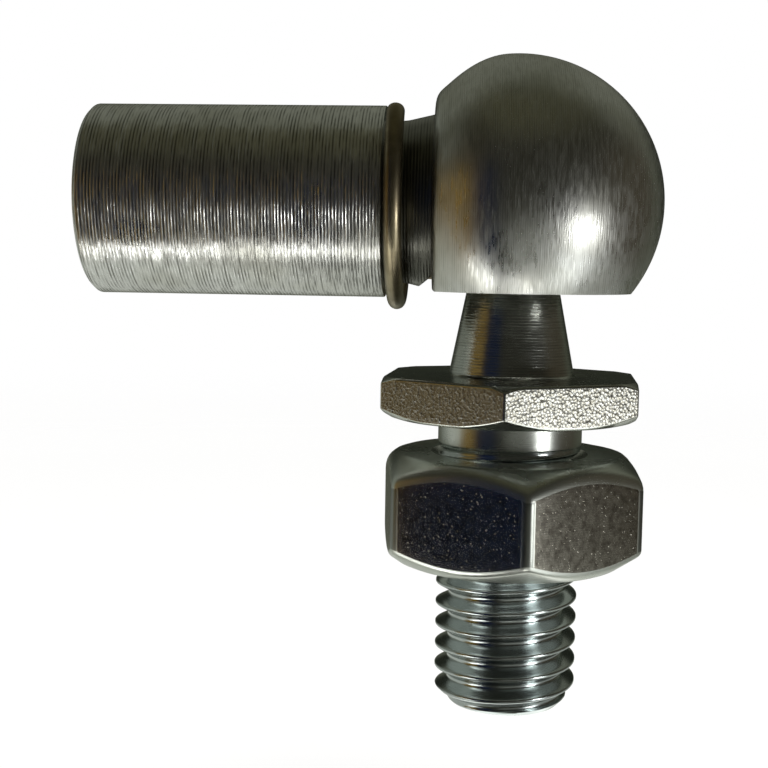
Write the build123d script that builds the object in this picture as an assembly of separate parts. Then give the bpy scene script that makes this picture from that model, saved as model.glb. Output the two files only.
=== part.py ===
from build123d import *
from math import cos, degrees, radians, sin, sqrt, tan
import os

# Angle ball joint with safety clip, in millimetres.
#
# Row frame: the origin is the centre of the socket shank's threaded mouth. The shank runs from
# there along +X to the head, and the ball stud hangs from the head along -Z.
# Every piece is drawn about the ball's centre and moved to the row frame when it is written.

# ---------------------------------------------------------------- driving dimensions
# ball stud, measured down from the ball's centre
ball_diameter = 13.0
ball_crown_flat = 3.2           # diameter of the small turned flat on top of the ball
neck_diameter = 6.3             # where the cone leaves the ball
cone_base_diameter = 8.7        # where the cone meets the hexagon
collar_drop = 11.8              # ball's centre to the hexagon's upper face
collar_thickness = 2.9
collar_across_flats = 17.0
collar_top_chamfer = 0.66       # how far inside the corners each chamfer starts
collar_bottom_chamfer = 1.35
shank_diameter = 10.0
plain_shank_length = 1.8        # seat for a lever's eye, below the hexagon
runout_width = 1.3              # last groove of the thread, where it runs out at the seat
runout_depth = 0.6
thread_diameter = 9.9           # over the crests of the M10 thread
thread_length = 18.35           # from the plain seat to the stud's end
stud_end_diameter = 7.8         # end face inside the 45 degree chamfer
collar_turn = -4.0              # degrees the hexagon is turned about the stud

# hexagon nut
nut_gap = 2.5                   # free shank between the hexagon's face and the nut
nut_height = 7.5
nut_across_flats = 17.0
nut_edge_radius = 0.7           # rounding of the six upright edges
nut_chamfer_start = 1.95        # how far inside the corners each chamfer starts
nut_chamfer_angle = 35.0
nut_countersink_diameter = 10.9
nut_turn = 6.0                  # degrees the nut is turned about the stud

# ball socket
socket_length = 29.2            # shank end to the ball's centre
socket_shank_diameter = 13.1
socket_end_chamfer = 0.35
head_diameter = 20.1
head_end_reach = 9.95           # ball's centre to the small flat on the head's end
head_base_drop = 6.04           # ball's centre to the flat underside
shoulder_reach = 5.55           # ball's centre to the head's shoulder
shoulder_diameter = 14.6        # flat shoulder, up to its bevel
shoulder_bevel_angle = 41.0     # bevel from the shoulder to the sphere, against the shank's axis
shoulder_edge_radius = 0.8
neck_groove_length = 3.35       # clip groove between shank and shoulder
neck_groove_diameter = 11.1
neck_flare_diameter = 12.0      # the groove's floor widens to this at the shoulder
socket_thread_bore = 6.8        # tapping size of the M8 thread
socket_thread_mouth = 8.4
socket_thread_depth = 18.0
mouth_chamfer = 0.3             # edge of the ball bore

# snap ring inside the head
ring_wire = 1.2
ring_drop = 2.9                 # ball's centre to the ring's plane
ring_gap = 3.0

# safety clip
clip_wire = 1.2
clip_hoop_offset_y = 0.5        # the sprung hoop sits a little off the shank's axis
clip_hoop_offset_z = 0.475
clip_plane_gap = 0.22           # shank to the hoop
clip_tip_angle = 132.0          # free end, counted from +Y towards +Z
clip_bend_angle = -54.5         # where the hoop turns towards the head
clip_bend_radius = 1.25
clip_leg_end = 4.5              # leg's end past the ball's centre
clip_tip_round = 0.25

# clearances
ball_clearance = 0.05           # ball in its socket
ring_clearance = 0.05           # snap ring in its groove
ring_ball_clearance = 0.1       # snap ring to the ball
clip_ball_clearance = 0.33      # clip leg to the ball, so that the leg passes beside it
clip_hole_clearance = 0.08      # clip leg in its hole, on the radius
clip_hole_end_clearance = 0.4
nut_thread_clearance = 0.03     # nut bore over the thread, on the radius

# shared angles
hex_chamfer_angle = 30.0
drill_point_angle = 118.0
countersink_angle = 120.0
thread_flank_angle = 30.0       # each flank against the thread's radius

# ---------------------------------------------------------------- sizes that follow
ball_radius = ball_diameter / 2
cavity_radius = ball_radius + ball_clearance
head_radius = head_diameter / 2
socket_shank_radius = socket_shank_diameter / 2
groove_left_reach = shoulder_reach + neck_groove_length

collar_top = -collar_drop
collar_bottom = collar_top - collar_thickness
thread_start = collar_bottom - plain_shank_length
stud_end = thread_start - thread_length
nut_top = collar_bottom - nut_gap
nut_bottom = nut_top - nut_height
nut_bore_radius = thread_diameter / 2 + nut_thread_clearance

# the ring's centre line lies on a sphere around the ball, at the ring's own depth
ring_sphere = ball_radius + ring_ball_clearance + ring_wire / 2
ring_radius = sqrt(ring_sphere**2 - ring_drop**2)
ring_groove_radius = ring_radius + ring_wire / 2 + ring_clearance
ring_groove_half_height = ring_wire / 2 + ring_clearance

clip_plane = -(groove_left_reach - clip_plane_gap - clip_wire / 2)
clip_hole_radius = clip_wire / 2 + clip_hole_clearance


def sprung_hoop_radius():
    """Radius of the clip's hoop at the wire's centre line, at which its leg just clears the ball."""
    bend = radians(clip_bend_angle)
    outward = Vector(cos(bend), sin(bend))
    # the leg lies one bend radius on from the hoop's end, square to the hoop's own radius there
    leg_shift = Vector(clip_hoop_offset_y, clip_hoop_offset_z)
    leg_shift += Vector(-sin(bend), cos(bend)) * clip_bend_radius
    leg_distance = ball_radius + clip_ball_clearance + clip_wire / 2
    along = leg_shift.dot(outward)
    return sqrt(along**2 + leg_distance**2 - leg_shift.dot(leg_shift)) - along


clip_hoop_radius = sprung_hoop_radius()


def across_corners(across_flats):
    """Distance over the corners of a hexagon of the given width over its flats."""
    return across_flats / cos(radians(30))


def hexagon_blank(across_flats, top, height, corner_turn, edge_radius=0.0):
    """Upright hexagonal prism hanging down from a height, with one corner near -Y."""
    blank = extrude(RegularPolygon(across_corners(across_flats) / 2, 6), -height)
    if edge_radius > 0:
        blank = fillet(blank.edges().filter_by(Axis.Z), edge_radius)
    return Pos(0, 0, top) * Rot(0, 0, corner_turn - 90) * blank


def chamfer_envelope(across_flats, top, height, top_inset, bottom_inset, angle):
    """Turned barrel whose cones cut the chamfers of a hexagon blank."""
    outer = across_corners(across_flats) / 2 + 1
    slope = tan(radians(angle))
    corner = across_corners(across_flats) / 2
    bottom = top - height
    profile = Polyline(
        (0, top),
        (corner - top_inset, top),
        (outer, top - (outer - corner + top_inset) * slope),
        (outer, bottom + (outer - corner + bottom_inset) * slope),
        (corner - bottom_inset, bottom),
        (0, bottom),
        close=True,
    )
    return revolve(Plane.XZ * make_face(profile), Axis.Z)


def make_ball_stud():
    """Ball, cone, hexagon, plain shank and thread, turned from one hexagonal bar."""
    crown_radius = ball_crown_flat / 2
    crown = sqrt(ball_radius**2 - crown_radius**2)
    neck_radius = neck_diameter / 2
    neck = -sqrt(ball_radius**2 - neck_radius**2)
    thread_radius = thread_diameter / 2
    end_radius = stud_end_diameter / 2
    runout_flank = runout_depth * tan(radians(thread_flank_angle))
    runout_radius = thread_radius - runout_depth
    outline = [
        Line((0, crown), (crown_radius, crown)),
        ThreePointArc((crown_radius, crown), (ball_radius, 0), (neck_radius, neck)),
        Polyline(
            (neck_radius, neck),
            (cone_base_diameter / 2, collar_top),
            (cone_base_diameter / 2, (collar_top + collar_bottom) / 2),
            (shank_diameter / 2, (collar_top + collar_bottom) / 2),
            (shank_diameter / 2, thread_start),
            (runout_radius, thread_start - runout_flank),
            (runout_radius, thread_start - runout_width + runout_flank),
            (thread_radius, thread_start - runout_width),
            (thread_radius, stud_end + thread_radius - end_radius),
            (end_radius, stud_end),
            (0, stud_end),
            (0, crown),
        ),
    ]
    turned = revolve(Plane.XZ * make_face(outline), Axis.Z)
    collar = hexagon_blank(collar_across_flats, collar_top, collar_thickness, collar_turn)
    collar &= chamfer_envelope(
        collar_across_flats,
        collar_top,
        collar_thickness,
        collar_top_chamfer,
        collar_bottom_chamfer,
        hex_chamfer_angle,
    )
    return turned + collar


def make_hex_nut():
    """Double-chamfered nut with a countersink at each face."""
    blank = hexagon_blank(nut_across_flats, nut_top, nut_height, nut_turn, nut_edge_radius)
    blank &= chamfer_envelope(
        nut_across_flats,
        nut_top,
        nut_height,
        nut_chamfer_start,
        nut_chamfer_start,
        nut_chamfer_angle,
    )
    mouth_radius = nut_countersink_diameter / 2
    sink = mouth_radius - nut_bore_radius
    bore = Polyline(
        (0, nut_top),
        (mouth_radius, nut_top),
        (nut_bore_radius, nut_top - sink),
        (nut_bore_radius, nut_bottom + sink),
        (mouth_radius, nut_bottom),
        (0, nut_bottom),
        close=True,
    )
    return blank - revolve(Plane.XZ * make_face(bore), Axis.Z)


def socket_body():
    """Shank, neck groove and spherical head, turned about the shank's axis."""
    bevel = radians(shoulder_bevel_angle)
    corner = Vector(-shoulder_reach, shoulder_diameter / 2)
    along_bevel = Vector(cos(bevel), sin(bevel))
    # the bevel runs from the shoulder's corner until it meets the sphere
    half_way = corner.dot(along_bevel)
    bevel_length = sqrt(half_way**2 + head_radius**2 - corner.dot(corner)) - half_way
    bevel_end = corner + along_bevel * bevel_length
    end_radius = sqrt(head_radius**2 - head_end_reach**2)
    shank = Polyline(
        (-socket_length, 0),
        (-socket_length, socket_shank_radius - socket_end_chamfer),
        (-socket_length + socket_end_chamfer, socket_shank_radius),
        (-groove_left_reach, socket_shank_radius),
        (-groove_left_reach, neck_groove_diameter / 2),
        (clip_plane + clip_wire / 2, neck_groove_diameter / 2),
        (-shoulder_reach, neck_flare_diameter / 2),
        corner,
        bevel_end,
    )
    sphere = ThreePointArc(bevel_end, (0, head_radius), (head_end_reach, end_radius))
    closing = Polyline((head_end_reach, end_radius), (head_end_reach, 0), (-socket_length, 0))
    profile = make_face([shank, sphere, closing])
    profile = fillet(profile.vertices().sort_by_distance(corner)[0], shoulder_edge_radius)
    return revolve(Plane.XZ * profile, Axis.X)


def socket_cavity():
    """Space cut for the ball: hemisphere, straight bore, snap ring groove and mouth chamfer."""
    groove_top = -ring_drop + ring_groove_half_height
    groove_bottom = -ring_drop - ring_groove_half_height
    mouth_radius = cavity_radius + mouth_chamfer
    dome = ThreePointArc(
        (0, cavity_radius),
        (cavity_radius * sin(radians(45)), cavity_radius * cos(radians(45))),
        (cavity_radius, 0),
    )
    bore = Polyline(
        (cavity_radius, 0),
        (cavity_radius, groove_top),
        (ring_groove_radius, groove_top),
        (ring_groove_radius, groove_bottom),
        (cavity_radius, groove_bottom),
        (cavity_radius, -head_base_drop + mouth_chamfer),
        (mouth_radius, -head_base_drop),
        (0, -head_base_drop),
        (0, cavity_radius),
    )
    return revolve(Plane.XZ * make_face([dome, bore]), Axis.Z)


def socket_thread_hole():
    """Blind tapped hole in the shank, with its countersunk mouth and drill point."""
    bore_radius = socket_thread_bore / 2
    mouth_radius = socket_thread_mouth / 2
    sink = (mouth_radius - bore_radius) / tan(radians(countersink_angle / 2))
    point = bore_radius / tan(radians(drill_point_angle / 2))
    hole = Polyline(
        (0, 0),
        (0, mouth_radius),
        (sink, bore_radius),
        (socket_thread_depth, bore_radius),
        (socket_thread_depth + point, 0),
        close=True,
    )
    return Pos(-socket_length, 0, 0) * revolve(Plane.XZ * make_face(hole), Axis.X)


def make_ball_socket():
    """Turned socket with its flat underside, ball bore, tapped hole and clip hole."""
    below_flat = Pos(-shoulder_reach, 0, -head_base_drop) * Box(
        head_diameter + shoulder_reach,
        head_diameter,
        head_radius,
        align=(Align.MIN, Align.CENTER, Align.MAX),
    )
    leg_y, leg_z = clip_leg_place()
    clip_hole = Pos(clip_plane, leg_y, leg_z) * Rot(0, 90, 0) * Cylinder(
        clip_hole_radius,
        clip_leg_end + clip_hole_end_clearance - clip_plane,
        align=(Align.CENTER, Align.CENTER, Align.MIN),
    )
    return socket_body() - below_flat - socket_cavity() - socket_thread_hole() - clip_hole


def make_snap_ring():
    """Open ring of round wire that holds the ball up in its socket."""
    half_gap = degrees(ring_gap / 2 / ring_radius)
    section = Plane.XZ * Pos(ring_radius, -ring_drop) * Circle(ring_wire / 2)
    ring = revolve(section, Axis.Z, 360 - 2 * half_gap)
    return Rot(0, 0, half_gap) * ring


def hoop_point(angle):
    """Point (y, z) of the clip's hoop, with the angle counted from +Y towards +Z."""
    return (
        clip_hoop_offset_y + clip_hoop_radius * cos(radians(angle)),
        clip_hoop_offset_z + clip_hoop_radius * sin(radians(angle)),
    )


def clip_leg_place():
    """Where (y, z) the clip's straight leg lies, one bend radius on from the hoop's end."""
    y, z = hoop_point(clip_bend_angle)
    return (
        y - clip_bend_radius * sin(radians(clip_bend_angle)),
        z + clip_bend_radius * cos(radians(clip_bend_angle)),
    )


def make_safety_clip():
    """Spring wire: an open hoop round the neck, a right-angled bend and a leg into the head."""
    hoop_middle = (clip_tip_angle + 360 + clip_bend_angle) / 2
    hoop = ThreePointArc(
        (clip_plane, *hoop_point(clip_tip_angle)),
        (clip_plane, *hoop_point(hoop_middle)),
        (clip_plane, *hoop_point(clip_bend_angle)),
    )
    leg_y, leg_z = clip_leg_place()
    bend_end = (clip_plane + clip_bend_radius, leg_y, leg_z)
    bend = TangentArc(hoop @ 1, bend_end, tangent=hoop % 1)
    leg = Line(bend_end, (clip_leg_end, leg_y, leg_z))
    path = Wire([hoop, bend, leg])
    section = Plane(origin=path @ 0, z_dir=path % 0) * Circle(clip_wire / 2)
    wire = sweep(section, path)
    rims = wire.edges().filter_by(lambda edge: edge.is_closed)
    tips = [rims.sort_by_distance(path @ end)[0] for end in (0, 1)]
    return fillet(tips, clip_tip_round)


def write_parts():
    """Write one STEP file per piece, moved to the row frame."""
    pieces = {
        "ball_socket": make_ball_socket(),
        "snap_ring": make_snap_ring(),
        "safety_clip": make_safety_clip(),
        "ball_stud": make_ball_stud(),
        "hex_nut": make_hex_nut(),
    }
    os.makedirs("parts", exist_ok=True)
    for name, piece in pieces.items():
        export_step(Pos(socket_length, 0, 0) * piece, f"parts/{name}.step")


write_parts()
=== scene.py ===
"""Studio scene of an angle ball joint with its safety clip, in metres, in the frame of its CAD model."""

import logging
import math
from dataclasses import dataclass, field
from enum import Enum, IntEnum

import bmesh
import bpy
import numpy as np
from bpy.types import Material, Mesh, Node, NodeSocket, NodeTree, Object
from mathutils import Matrix, Vector


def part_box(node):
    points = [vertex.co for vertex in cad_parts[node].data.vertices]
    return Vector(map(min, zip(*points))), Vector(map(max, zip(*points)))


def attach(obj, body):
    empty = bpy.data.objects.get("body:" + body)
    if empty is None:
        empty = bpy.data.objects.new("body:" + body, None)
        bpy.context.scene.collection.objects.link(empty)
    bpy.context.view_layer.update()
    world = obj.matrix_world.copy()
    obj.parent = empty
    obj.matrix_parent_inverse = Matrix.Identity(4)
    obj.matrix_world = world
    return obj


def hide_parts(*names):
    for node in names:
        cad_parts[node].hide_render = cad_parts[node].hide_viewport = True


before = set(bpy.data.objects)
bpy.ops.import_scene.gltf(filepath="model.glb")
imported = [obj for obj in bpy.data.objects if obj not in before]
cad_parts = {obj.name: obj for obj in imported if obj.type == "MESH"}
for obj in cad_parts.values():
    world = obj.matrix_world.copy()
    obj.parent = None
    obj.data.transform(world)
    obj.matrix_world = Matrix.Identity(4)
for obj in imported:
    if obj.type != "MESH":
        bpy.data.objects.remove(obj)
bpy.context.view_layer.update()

log = logging.getLogger("angle_ball_joint")

MM = 0.001  # sizes are written in millimetres, and meshes are in metres
PER_METRE = 1000  # millimetres in a metre
MERGE = 1e-7  # points nearer than this, in metres, are one point
TURN = 2 * math.pi  # one whole turn, in radians
SIDE = math.radians(60)  # the angle that one side of a hexagon covers

M10_PITCH = 1.5
M10_CREST = -0.2  # height of one of the stud's crests at angle 0, from the ball's centre

# rows of points that keep a thread's corners crisp, as shares of the pitch from each corner
BY_CREST = (-0.025, 0.005, 0.035)
BY_ROOT = (-0.035, -0.005, 0.03)
ON_FLANK = (0.3, 0.5, 0.7)  # the rows between them, as shares of the flank
CORNER_BLUR = (-0.03, -0.015, 0.0, 0.015, 0.03)  # corners are averaged over these shares of the pitch
SPARE_TURNS = 2  # turns of thread drawn past each end, and then held at the end

Pair = tuple[float, float]
Triple = tuple[float, float, float]
Point = Pair  # a profile's (radius, along), in millimetres
Corner = Triple  # a profile's point and the rounding of its corner


class Turned(Enum):
    """The axis that a piece was turned about on the lathe."""

    ABOUT_SHANK = "X"
    ABOUT_STUD = "Z"


# ------------------------------------------------------------------ meshes of turned work


def ball_centre() -> Vector:
    """Centre of the ball, in metres, half way across the stud's hexagon."""
    low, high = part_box("ball_stud")
    return Vector(((low.x + high.x) / 2, 0.0, 0.0))


def place(axis: Turned, radius: np.ndarray, along: np.ndarray, angle: np.ndarray) -> np.ndarray:
    """Turn lathe coordinates into points about the ball's centre.

    Args:
        axis: the axis that the piece was turned about.
        radius: distance from that axis, in millimetres.
        along: position along it, in millimetres.
        angle: angle about it, in radians, right-handed.

    Returns:
        Points in millimetres, with the three coordinates last.
    """
    across, up = radius * np.cos(angle), radius * np.sin(angle)
    if axis is Turned.ABOUT_STUD:
        return np.stack([across, up, along], axis=-1)
    return np.stack([along, across, up], axis=-1)


def curve(start: np.ndarray, corner: np.ndarray, end: np.ndarray, steps: int) -> list[np.ndarray]:
    """Draw a soft bend that leaves start and reaches end along the lines to a corner.

    Args:
        start: the bend's first point.
        corner: the point where its two tangents meet.
        end: its last point.
        steps: number of segments.

    Returns:
        The bend's points, with both ends.
    """
    shares = np.linspace(0, 1, steps + 1)
    return [(1 - t) ** 2 * start + 2 * t * (1 - t) * corner + t**2 * end for t in shares]


def rounded(corners: list[Corner], steps: int = 4) -> list[Point]:
    """Round the corners of a profile.

    Args:
        corners: its corners, the first and the last of which stay sharp.
        steps: segments in each rounded corner.

    Returns:
        The profile's points.
    """
    most = 0.45  # share of a side that one rounding may take
    out = [corners[0][:2]]
    for before, here, after in zip(corners, corners[1:], corners[2:]):
        corner = np.array(here[:2])
        to_before, to_after = np.array(before[:2]) - corner, np.array(after[:2]) - corner
        reach = min(here[2], most * np.linalg.norm(to_before), most * np.linalg.norm(to_after))
        if reach <= 0:
            out.append(here[:2])
            continue
        start = corner + to_before / np.linalg.norm(to_before) * reach
        end = corner + to_after / np.linalg.norm(to_after) * reach
        out += [(float(point[0]), float(point[1])) for point in curve(start, corner, end, steps)]
    return out + [corners[-1][:2]]


def arc(radius: float, start: float, end: float, steps: int) -> list[Point]:
    """Draw an arc about the ball's centre.

    Args:
        radius: the arc's radius.
        start: first angle in degrees, counted from the along direction towards the radius.
        end: last angle in degrees.
        steps: number of segments.

    Returns:
        The profile's points.
    """
    angles = np.radians(np.linspace(start, end, steps + 1))
    return [(radius * math.sin(a), radius * math.cos(a)) for a in angles]


def tangent_blend(start: np.ndarray, heading: np.ndarray, end: np.ndarray, radius: float) -> list[Point]:
    """Blend a straight run of a profile into a circle about the ball's centre.

    Args:
        start: (along, radius) of the last point of the straight run.
        heading: unit direction of that run.
        end: (along, radius) of the point where the circle takes over.
        radius: the circle's radius.

    Returns:
        The profile's points after start, with the last on the circle.
    """
    # the bend's corner is where the run's line meets the circle's tangent at its end point
    reach = (radius**2 - float(start @ end)) / float(heading @ end)
    return [(float(r), float(along)) for along, r in curve(start, start + heading * reach, end, 12)[1:]]


@dataclass(frozen=True)
class Thread:
    """A 60 degree metric thread, as a radius over angle and length."""

    pitch: float
    crest_radius: float
    root_radius: float
    crest_flat: float  # width of the crest as a share of the pitch
    root_flat: float
    crest_place: float  # a crest's position along the axis at angle 0

    def radius(self, angle: np.ndarray, along: np.ndarray) -> np.ndarray:
        """Radius of the thread's surface, with its corners a little rounded.

        Args:
            angle: angles about the axis, in radians.
            along: positions along it, in millimetres.

        Returns:
            Radii in millimetres.
        """
        turns = (along - self.crest_place) / self.pitch - angle / TURN
        from_crest = np.abs(turns - np.round(turns))
        flank = 0.5 - (self.crest_flat + self.root_flat) / 2
        depths = [np.clip((from_crest + shift - self.crest_flat / 2) / flank, 0, 1) for shift in CORNER_BLUR]
        return self.crest_radius + (self.root_radius - self.crest_radius) * np.mean(depths, axis=0)

    def lines(self, angles: np.ndarray, first: float, last: float) -> np.ndarray:
        """Rows of points that follow the helix, so that crests and roots come out as clean edges.

        Args:
            angles: the angles of the columns, in radians.
            first: where the thread starts along the axis.
            last: where it ends.

        Returns:
            Positions along the axis, one row for each line, held between first and last.
        """
        crest, root = self.crest_flat / 2, 0.5 - self.root_flat / 2
        half = [0.0] + [crest + step for step in BY_CREST]
        half += [crest + (root - crest) * share for share in ON_FLANK]
        half += [root + step for step in BY_ROOT]
        phases = half + [0.5] + [1 - phase for phase in reversed(half[1:])]
        low, high = min(first, last), max(first, last)
        turns = np.arange(math.floor((low - self.crest_place) / self.pitch) - SPARE_TURNS,
                          math.ceil((high - self.crest_place) / self.pitch) + SPARE_TURNS + 1)
        starts = np.sort(np.add.outer(turns, phases).ravel())
        if first > last:
            starts = starts[::-1]
        rows = self.crest_place + self.pitch * np.add.outer(starts, angles / TURN)
        return np.clip(rows, low, high)


def grid_mesh(name: str, points: np.ndarray, mark: str, values: np.ndarray) -> Mesh:
    """Join rows of points into quads, and keep a value or a vector on each point for the finishes.

    Args:
        name: the mesh's name.
        points: the points in metres, by row, column and coordinate.
        mark: name of what is kept on the points.
        values: the values by row and column, or the vectors by row, column and coordinate.

    Returns:
        The mesh.
    """
    rows, columns = points.shape[:2]
    index = np.arange(rows * columns).reshape(rows, columns)
    quads = np.stack([index[:-1, :-1], index[:-1, 1:], index[1:, 1:], index[1:, :-1]], axis=-1)
    mesh = bpy.data.meshes.new(name)
    mesh.from_pydata(points.reshape(-1, 3).tolist(), [], quads.reshape(-1, 4).tolist())
    kind, key = ("FLOAT_VECTOR", "vector") if values.ndim == points.ndim else ("FLOAT", "value")
    mesh.attributes.new(mark, kind, "POINT").data.foreach_set(key, values.astype(np.float32).ravel())
    return mesh


def clean(mesh: Mesh) -> Mesh:
    """Merge the points that coincide and turn every face outwards.

    Args:
        mesh: the mesh to clean.

    Returns:
        The same mesh.
    """
    work = bmesh.new()
    work.from_mesh(mesh)
    bmesh.ops.remove_doubles(work, verts=work.verts, dist=MERGE)
    bmesh.ops.dissolve_degenerate(work, edges=work.edges, dist=MERGE)
    bmesh.ops.recalc_face_normals(work, faces=work.faces)
    work.to_mesh(mesh)
    work.free()
    return mesh


@dataclass
class Skin:
    """A closed skin of rows around one axis, each row as many points as there are angles."""

    axis: Turned
    angles: np.ndarray
    radii: list[np.ndarray] = field(default_factory=list)
    places: list[np.ndarray] = field(default_factory=list)
    finishes: list[int] = field(default_factory=list)
    on_flat: list[np.ndarray] = field(default_factory=list)

    def row(self, radius: float | np.ndarray, along: float | np.ndarray, finish: int = 0,
            flat: float | np.ndarray = 0.0) -> None:
        """Add one row.

        Args:
            radius: radius of its points, one for all or one for each angle.
            along: position along the axis, likewise.
            finish: which of the piece's finishes the faces before this row take.
            flat: 1 where a point is on a hexagon's flat, -1 on its upright edge, 0 anywhere else.
        """
        blank = np.zeros_like(self.angles)
        self.radii.append(blank + radius)
        self.places.append(blank + along)
        self.finishes.append(finish)
        self.on_flat.append(blank + flat)

    def profile(self, points: list[Point], finish: int = 0) -> None:
        """Add a plain turned profile, whose faces take one finish."""
        for radius, along in points:
            self.row(radius, along, finish)

    def end(self) -> Corner:
        """The last point of a plain profile, as a corner with no rounding."""
        return float(self.radii[-1][0]), float(self.places[-1][0]), 0.0

    def mesh(self, name: str) -> Mesh:
        """Close the skin into a mesh about the ball's centre.

        Args:
            name: the mesh's name.

        Returns:
            A mesh in metres, with a finish number on each face and on_flat on each point.
        """
        points = place(self.axis, np.array(self.radii), np.array(self.places), self.angles)
        mesh = grid_mesh(name, points * MM, "on_flat", np.array(self.on_flat))
        numbers = np.repeat(np.array(self.finishes[1:], dtype=np.int32), len(self.angles) - 1)
        mesh.polygons.foreach_set("material_index", numbers)
        return clean(mesh)


@dataclass(frozen=True)
class Hexagon:
    """A hexagon with rounded upright edges and two chamfers, one corner near the front."""

    across_flats: float
    corner_rounding: float
    turn: float  # degrees that the front corner is turned about the stud
    chamfer_degrees: float  # slope of both chamfers against the end faces
    insets: Pair  # how far inside the corners the top and the bottom chamfer start
    break_mm: float  # least width of a chamfer, where the flats come inside it
    edges: Pair  # rounding where the top and the bottom chamfer meet a flat
    crown: float = 0.0  # how far the flats fall away towards their edges

    @property
    def half_flat(self) -> float:
        """Half of the width of a flat, between its rounded corners."""
        return (self.across_flats / 2 - self.corner_rounding) * math.tan(SIDE / 2)

    @property
    def corner(self) -> float:
        """Distance from the axis to a sharp corner."""
        return self.across_flats / 2 / math.cos(SIDE / 2)

    def _from_corner(self, angle: np.ndarray) -> np.ndarray:
        """Angle from the nearest corner, in radians, without its sign."""
        turned = (angle - math.radians(self.turn - 90)) / SIDE
        return np.abs(turned - np.round(turned)) * SIDE

    def angles(self, a_side: int) -> np.ndarray:
        """Angles of the columns, closer together near the corners.

        Args:
            a_side: columns for each side of the hexagon.

        Returns:
            Angles in radians over one full turn, with both ends.
        """
        crowding = 0.85  # from 0, evenly spaced, to 1, touching at the corners
        share = np.arange(6 * a_side + 1) / a_side
        share = share - crowding * np.sin(TURN * share) / TURN
        return math.radians(self.turn - 90) + share * SIDE

    def on_flat(self, angle: np.ndarray) -> np.ndarray:
        """Whether each angle meets a flat of the hexagon, and not a rounded corner."""
        return self._from_corner(angle) >= SIDE / 2 - math.atan(self.half_flat / (self.across_flats / 2))

    def radius(self, angle: np.ndarray) -> np.ndarray:
        """Outline of the hexagon.

        Args:
            angle: angles about the axis, in radians.

        Returns:
            Distances from the axis, in millimetres.
        """
        apothem, rounding = self.across_flats / 2, self.corner_rounding
        delta = self._from_corner(angle)
        centre = (apothem - rounding) / math.cos(SIDE / 2)
        inside = np.maximum(rounding**2 - (centre * np.sin(delta)) ** 2, 0)
        round_corner = centre * np.cos(delta) + np.sqrt(inside)
        flat = apothem / np.cos(SIDE / 2 - delta)
        aside = np.tan(SIDE / 2 - delta) * apothem / self.half_flat
        # a high power keeps the middle of a flat level, so that it falls away near its edges only
        fall = self.crown * np.where(np.abs(aside) < 1, 1 - np.abs(aside) ** 5, 0.0)
        return np.where(self.on_flat(angle), flat + fall, round_corner) - self.crown

    def _chamfer(self, outer: np.ndarray, end: float, inward: int, inset: float,
                 edge: float) -> list[tuple[np.ndarray, np.ndarray]]:
        """Rows from an end face over its chamfer to the flats.

        Args:
            outer: the outline's radius at each angle.
            end: height of the end face.
            inward: -1 at the top face and 1 at the bottom face.
            inset: how far inside the corners the chamfer starts.
            edge: rounding where it meets a flat.

        Returns:
            The rows as radii and heights.
        """
        slope = math.tan(math.radians(self.chamfer_degrees))
        start = np.minimum(self.corner - inset, outer - self.break_mm)
        drop = np.maximum((outer - self.corner + inset) * slope, self.break_mm)
        length = np.hypot(outer - start, drop)
        reach = np.minimum(edge, 0.8 * length)  # a rounding leaves a fifth of a narrow chamfer
        across, down = (outer - start) / length, drop / length
        bend = np.linspace(0, 1, 6)
        rows = []
        for t in bend[::2]:  # the edge at the end face is rounded over an eighth of the chamfer
            a, b = (1 - t) ** 2 * length / 8, t**2 * length / 8
            rows.append((start - a + b * across, end + inward * b * down))
        for t in bend:
            a, b = (1 - t) ** 2 * reach, t**2 * edge
            rows.append((outer - a * across, end + inward * (drop - a * down + b)))
        return rows

    def add_sides(self, skin: Skin, top: float, bottom: float, finish: int) -> None:
        """Add both chamfers and the sides to a skin that has the rows of the top face.

        Args:
            skin: the skin.
            top: height of the top face.
            bottom: height of the bottom face.
            finish: number of the finish.
        """
        outer = self.radius(skin.angles)
        above = self._chamfer(outer, top, -1, self.insets[0], self.edges[0])
        below = self._chamfer(outer, bottom, 1, self.insets[1], self.edges[1])
        on_side = 2 * self.on_flat(skin.angles).astype(float) - 1  # 1 on a flat, -1 on an upright edge
        for radius, along in above[:-1]:
            skin.row(radius, along, finish)
        upper, lower = above[-1][1], below[-1][1]
        for share in np.linspace(0, 1, 9):
            skin.row(outer, upper + (lower - upper) * share, finish, on_side)
        for radius, along in reversed(below[:-1]):
            skin.row(radius, along, finish)


def soft_min(a: np.ndarray, b: np.ndarray) -> np.ndarray:
    """The smaller of two radii, blended where they are close so that they meet in no knife edge.

    Args:
        a: the first radii.
        b: the second radii.

    Returns:
        The blended radii.
    """
    width = 0.06  # they blend where they differ by less than this, in millimetres
    share = np.clip(0.5 + (b - a) / (2 * width), 0, 1)
    return b * (1 - share) + a * share - width * share * (1 - share)


def add_piece(name: str, mesh: Mesh) -> Object:
    """Add an object for a mesh that was drawn about the ball's centre.

    Args:
        name: the object's name.
        mesh: its mesh, in metres.

    Returns:
        The object, with its place in its mesh.
    """
    mesh.transform(Matrix.Translation(ball_centre()))
    piece = bpy.data.objects.new(name, mesh)
    bpy.context.scene.collection.objects.link(piece)
    return piece


def shade(piece: Object, sharp_degrees: float) -> None:
    """Shade a piece smooth between its sharp edges, with large faces kept flat.

    Args:
        piece: the object to shade.
        sharp_degrees: edges that turn by more than this stay sharp.
    """
    piece.data.polygons.foreach_set("use_smooth", [True] * len(piece.data.polygons))
    piece.data.set_sharp_from_angle(angle=math.radians(sharp_degrees))
    weighted = piece.modifiers.new("weighted_normals", "WEIGHTED_NORMAL")
    weighted.keep_sharp = True
    weighted.weight = 80  # large faces count for more than with the usual 50


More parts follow.
